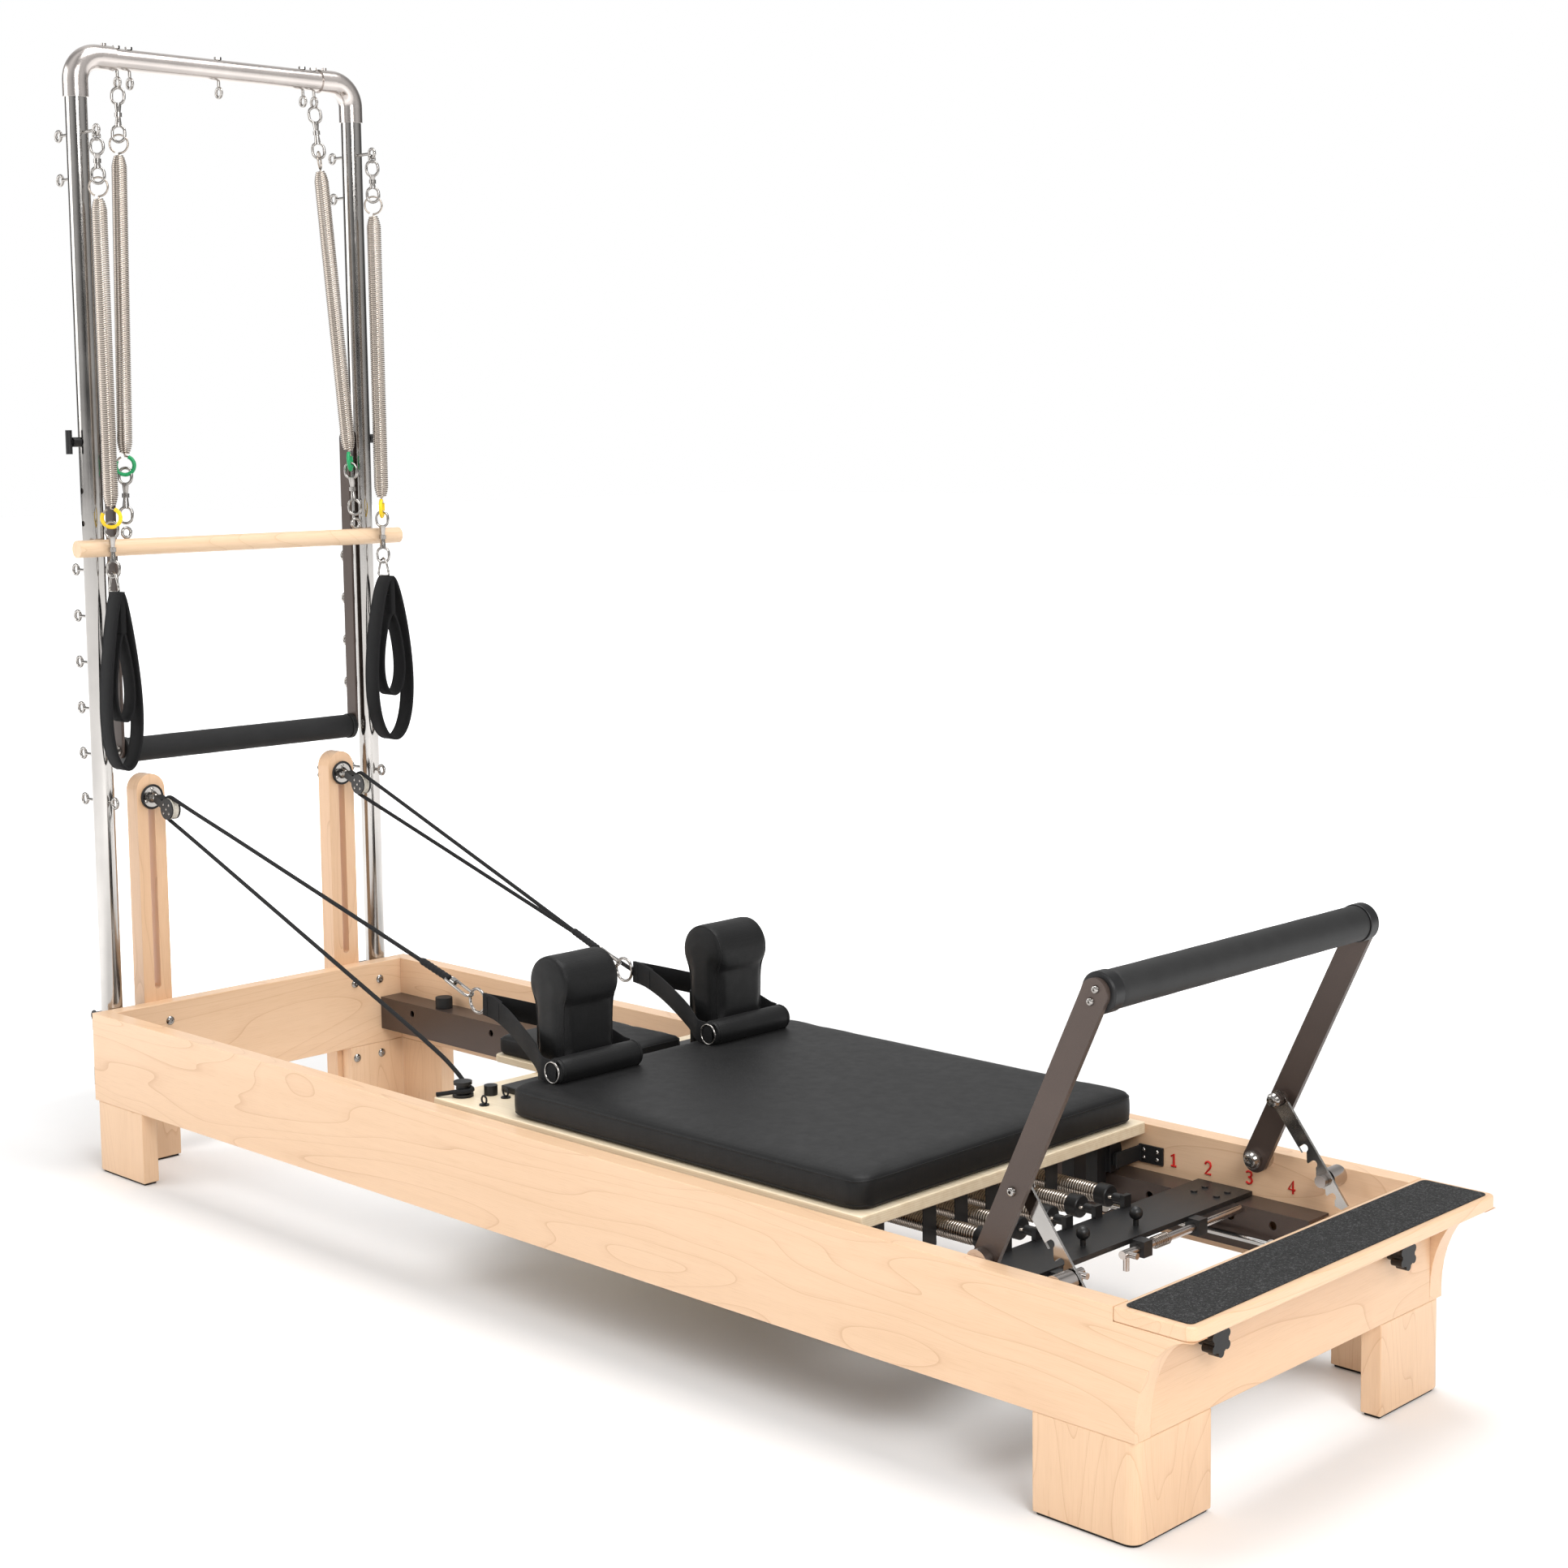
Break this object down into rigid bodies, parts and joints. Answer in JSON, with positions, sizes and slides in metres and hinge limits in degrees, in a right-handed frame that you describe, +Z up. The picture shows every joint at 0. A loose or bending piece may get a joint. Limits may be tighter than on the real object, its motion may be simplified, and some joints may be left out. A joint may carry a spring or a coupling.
{
  "type": "pilates reformer",
  "caption": "Wooden pilates reformer with a sprung sliding carriage, shoulder rests, folding footbar, rope risers and a tubular spring tower with push-through and roll-down bars.",
  "frame": {"origin": "centre of the object's footprint box, on the floor", "axes": "+X towards the foot end with the standing platform, +Y towards the far side rail, +Z up"},
  "size_m": [2.584, 0.726, 2.087],
  "materials": {
    "maple": "clear satin lacquer on hard maple",
    "birch": "clear lacquered birch ply",
    "dowel": "oiled beech",
    "bronze": "brown bronze powder coat",
    "black_metal": "satin black powder coat",
    "steel": "polished stainless steel",
    "spring_steel": "nickel plated spring wire",
    "vinyl": "black upholstery vinyl with a fine linen grain",
    "foam": "dark grey foam sleeve",
    "rubber": "black rubber",
    "grit": "black anti-slip grit",
    "plastic": "black moulded nylon",
    "pale_plastic": "natural nylon sheave",
    "webbing": "black woven webbing",
    "rope": "black braided rope"
  },
  "bodies": {
    "frame": {"side_rails": "maple", "head_end_rail": "maple", "foot_end_rail": "maple", "legs": "maple", "foot_pads": "rubber", "standing_platform": "maple", "platform_grip": "grit", "tracks": "bronze", "frame_bolts": "steel", "track_stops": "rubber", "guide_rods": "steel", "footbar_pivots": "steel", "tower_uprights": "steel", "tower_elbows": "steel", "top_tube": "steel", "tower_eyebolts": "steel", "tower_brackets": "black_metal", "riser_posts": "maple", "tee_pins": "plastic", "roll_springs": "spring_steel"},
    "platform_knob_near": {"platform_knob_near": "plastic"},
    "platform_knob_far": {"platform_knob_far": "plastic"},
    "carrier_near": {"pulley_carrier_near": "steel"},
    "carrier_far": {"pulley_carrier_far": "steel"},
    "riser_knob_near": {"riser_knob_near": "plastic"},
    "riser_knob_far": {"riser_knob_far": "plastic"},
    "block_near": {"pulley_block_near": "steel"},
    "block_far": {"pulley_block_far": "steel"},
    "sheave_near": {"sheave_near": "pale_plastic"},
    "sheave_far": {"sheave_far": "pale_plastic"},
    "carriage": {"carriage_deck": "birch", "carriage_pad": "vinyl", "roller_blocks": "plastic", "shoulder_rest_near": "vinyl", "shoulder_rest_far": "vinyl", "shoulder_plates": "black_metal", "cleats": "plastic", "strap_hardware": "steel", "grip_rolls": "vinyl", "straps": "webbing", "carriage_springs": "spring_steel", "ropes": "rope"},
    "wheels_head": {"wheels_head": "rubber"},
    "wheels_foot": {"wheels_foot": "rubber"},
    "headrest": {"headrest_board": "birch", "headrest_pad": "vinyl"},
    "spring_bar": {"spring_bar": "black_metal"},
    "latch_near": {"latch_near": "steel"},
    "latch_far": {"latch_far": "steel"},
    "footbar": {"footbar_arms": "bronze", "footbar_roller": "foam"},
    "strut_near": {"strut_near": "steel"},
    "strut_far": {"strut_far": "steel"},
    "push_bar": {"push_bar_arms": "bronze", "push_bar_roller": "foam"},
    "roll_bar": {"roll_bar": "dowel"},
    "arm_spring_near": {"arm_spring_near": "spring_steel", "hand_loop_near": "webbing"},
    "arm_spring_far": {"arm_spring_far": "spring_steel", "hand_loop_far": "webbing"}
  },
  "joints": [
    {"name": "carriage_slide", "type": "slide", "parent": "frame", "child": "carriage", "axis": [1, 0, 0], "range_m": [-0.7, 0], "stiffness_N_per_m": 120, "springref_m": 0.03, "deforming": ["ropes", "carriage_springs"]},
    {"name": "wheels_head_spin", "type": "hinge", "parent": "carriage", "child": "wheels_head", "pos_m": [-0.152, 0, 0.256], "axis": [0, 1, 0], "continuous": true},
    {"name": "wheels_foot_spin", "type": "hinge", "parent": "carriage", "child": "wheels_foot", "pos_m": [0.658, 0, 0.256], "axis": [0, 1, 0], "continuous": true},
    {"name": "headrest_tilt", "type": "hinge", "parent": "carriage", "child": "headrest", "pos_m": [-0.072, 0, 0.3065], "axis": [0, 1, 0], "range_deg": [0, 30]},
    {"name": "spring_bar_slide", "type": "slide", "parent": "frame", "child": "spring_bar", "axis": [1, 0, 0], "range_m": [0, 0.07], "deforming": ["carriage_springs"]},
    {"name": "latch_near_pull", "type": "slide", "parent": "spring_bar", "child": "latch_near", "axis": [0, 1, 0], "range_m": [0, 0.012], "stiffness_N_per_m": 400, "springref_m": -0.01},
    {"name": "latch_far_pull", "type": "slide", "parent": "spring_bar", "child": "latch_far", "axis": [0, 1, 0], "range_m": [-0.012, 0], "stiffness_N_per_m": 400, "springref_m": 0.01},
    {"name": "footbar_fold", "type": "hinge", "parent": "frame", "child": "footbar", "pos_m": [0.931, 0, 0.291], "axis": [0, 1, 0], "range_deg": [-46, 0]},
    {"name": "strut_near_lift", "type": "hinge", "parent": "footbar", "child": "strut_near", "pos_m": [0.9789, -0.291, 0.3923], "axis": [0, 1, 0], "range_deg": [-54, 0]},
    {"name": "arm_spring_near_swing", "type": "hinge", "parent": "frame", "child": "arm_spring_near", "pos_m": [-1.148, -0.305, 1.92], "axis": [0, 1, 0], "range_deg": [-70, 0]},
    {"name": "carrier_near_height", "type": "slide", "parent": "frame", "child": "carrier_near", "axis": [0, 0, 1], "range_m": [-0.3, 0], "deforming": ["ropes"]},
    {"name": "riser_knob_near_turn", "type": "hinge", "parent": "carrier_near", "child": "riser_knob_near", "pos_m": [-1.237, -0.218, 0.692], "axis": [1, 0, 0], "continuous": true},
    {"name": "block_near_swivel", "type": "hinge", "parent": "carrier_near", "child": "block_near", "pos_m": [-1.177, -0.218, 0.692], "axis": [0, 1, 0], "range_deg": [-8, 0], "deforming": ["ropes"]},
    {"name": "sheave_near_spin", "type": "hinge", "parent": "block_near", "child": "sheave_near", "pos_m": [-1.125, -0.218, 0.675], "axis": [0, 1, 0], "continuous": true},
    {"name": "platform_knob_near_turn", "type": "hinge", "parent": "frame", "child": "platform_knob_near", "pos_m": [1.223, -0.221, 0.234], "axis": [1, 0, 0], "continuous": true},
    {"name": "strut_far_lift", "type": "hinge", "parent": "footbar", "child": "strut_far", "pos_m": [0.9789, 0.291, 0.3923], "axis": [0, 1, 0], "range_deg": [-54, 0]},
    {"name": "arm_spring_far_swing", "type": "hinge", "parent": "frame", "child": "arm_spring_far", "pos_m": [-1.148, 0.305, 1.92], "axis": [0, 1, 0], "range_deg": [-70, 0]},
    {"name": "carrier_far_height", "type": "slide", "parent": "frame", "child": "carrier_far", "axis": [0, 0, 1], "range_m": [-0.3, 0], "deforming": ["ropes"]},
    {"name": "riser_knob_far_turn", "type": "hinge", "parent": "carrier_far", "child": "riser_knob_far", "pos_m": [-1.237, 0.218, 0.692], "axis": [1, 0, 0], "continuous": true},
    {"name": "block_far_swivel", "type": "hinge", "parent": "carrier_far", "child": "block_far", "pos_m": [-1.177, 0.218, 0.692], "axis": [0, 1, 0], "range_deg": [-8, 0], "deforming": ["ropes"]},
    {"name": "sheave_far_spin", "type": "hinge", "parent": "block_far", "child": "sheave_far", "pos_m": [-1.125, 0.218, 0.675], "axis": [0, 1, 0], "continuous": true},
    {"name": "platform_knob_far_turn", "type": "hinge", "parent": "frame", "child": "platform_knob_far", "pos_m": [1.223, 0.221, 0.234], "axis": [1, 0, 0], "continuous": true},
    {"name": "push_bar_swing", "type": "hinge", "parent": "frame", "child": "push_bar", "pos_m": [-1.214, 0, 1.36], "axis": [0, 1, 0], "range_deg": [0, 110]},
    {"name": "roll_bar_pull", "type": "slide", "parent": "frame", "child": "roll_bar", "axis": [0, 0, 1], "range_m": [-0.25, 0], "stiffness_N_per_m": 150, "springref_m": 0.08, "deforming": ["roll_springs"]}
  ],
  "couplings": [
    {"joint": "wheels_head_spin", "follows": "carriage_slide", "rad_per_m": 36.101},
    {"joint": "wheels_foot_spin", "follows": "carriage_slide", "rad_per_m": 36.101}
  ]
}
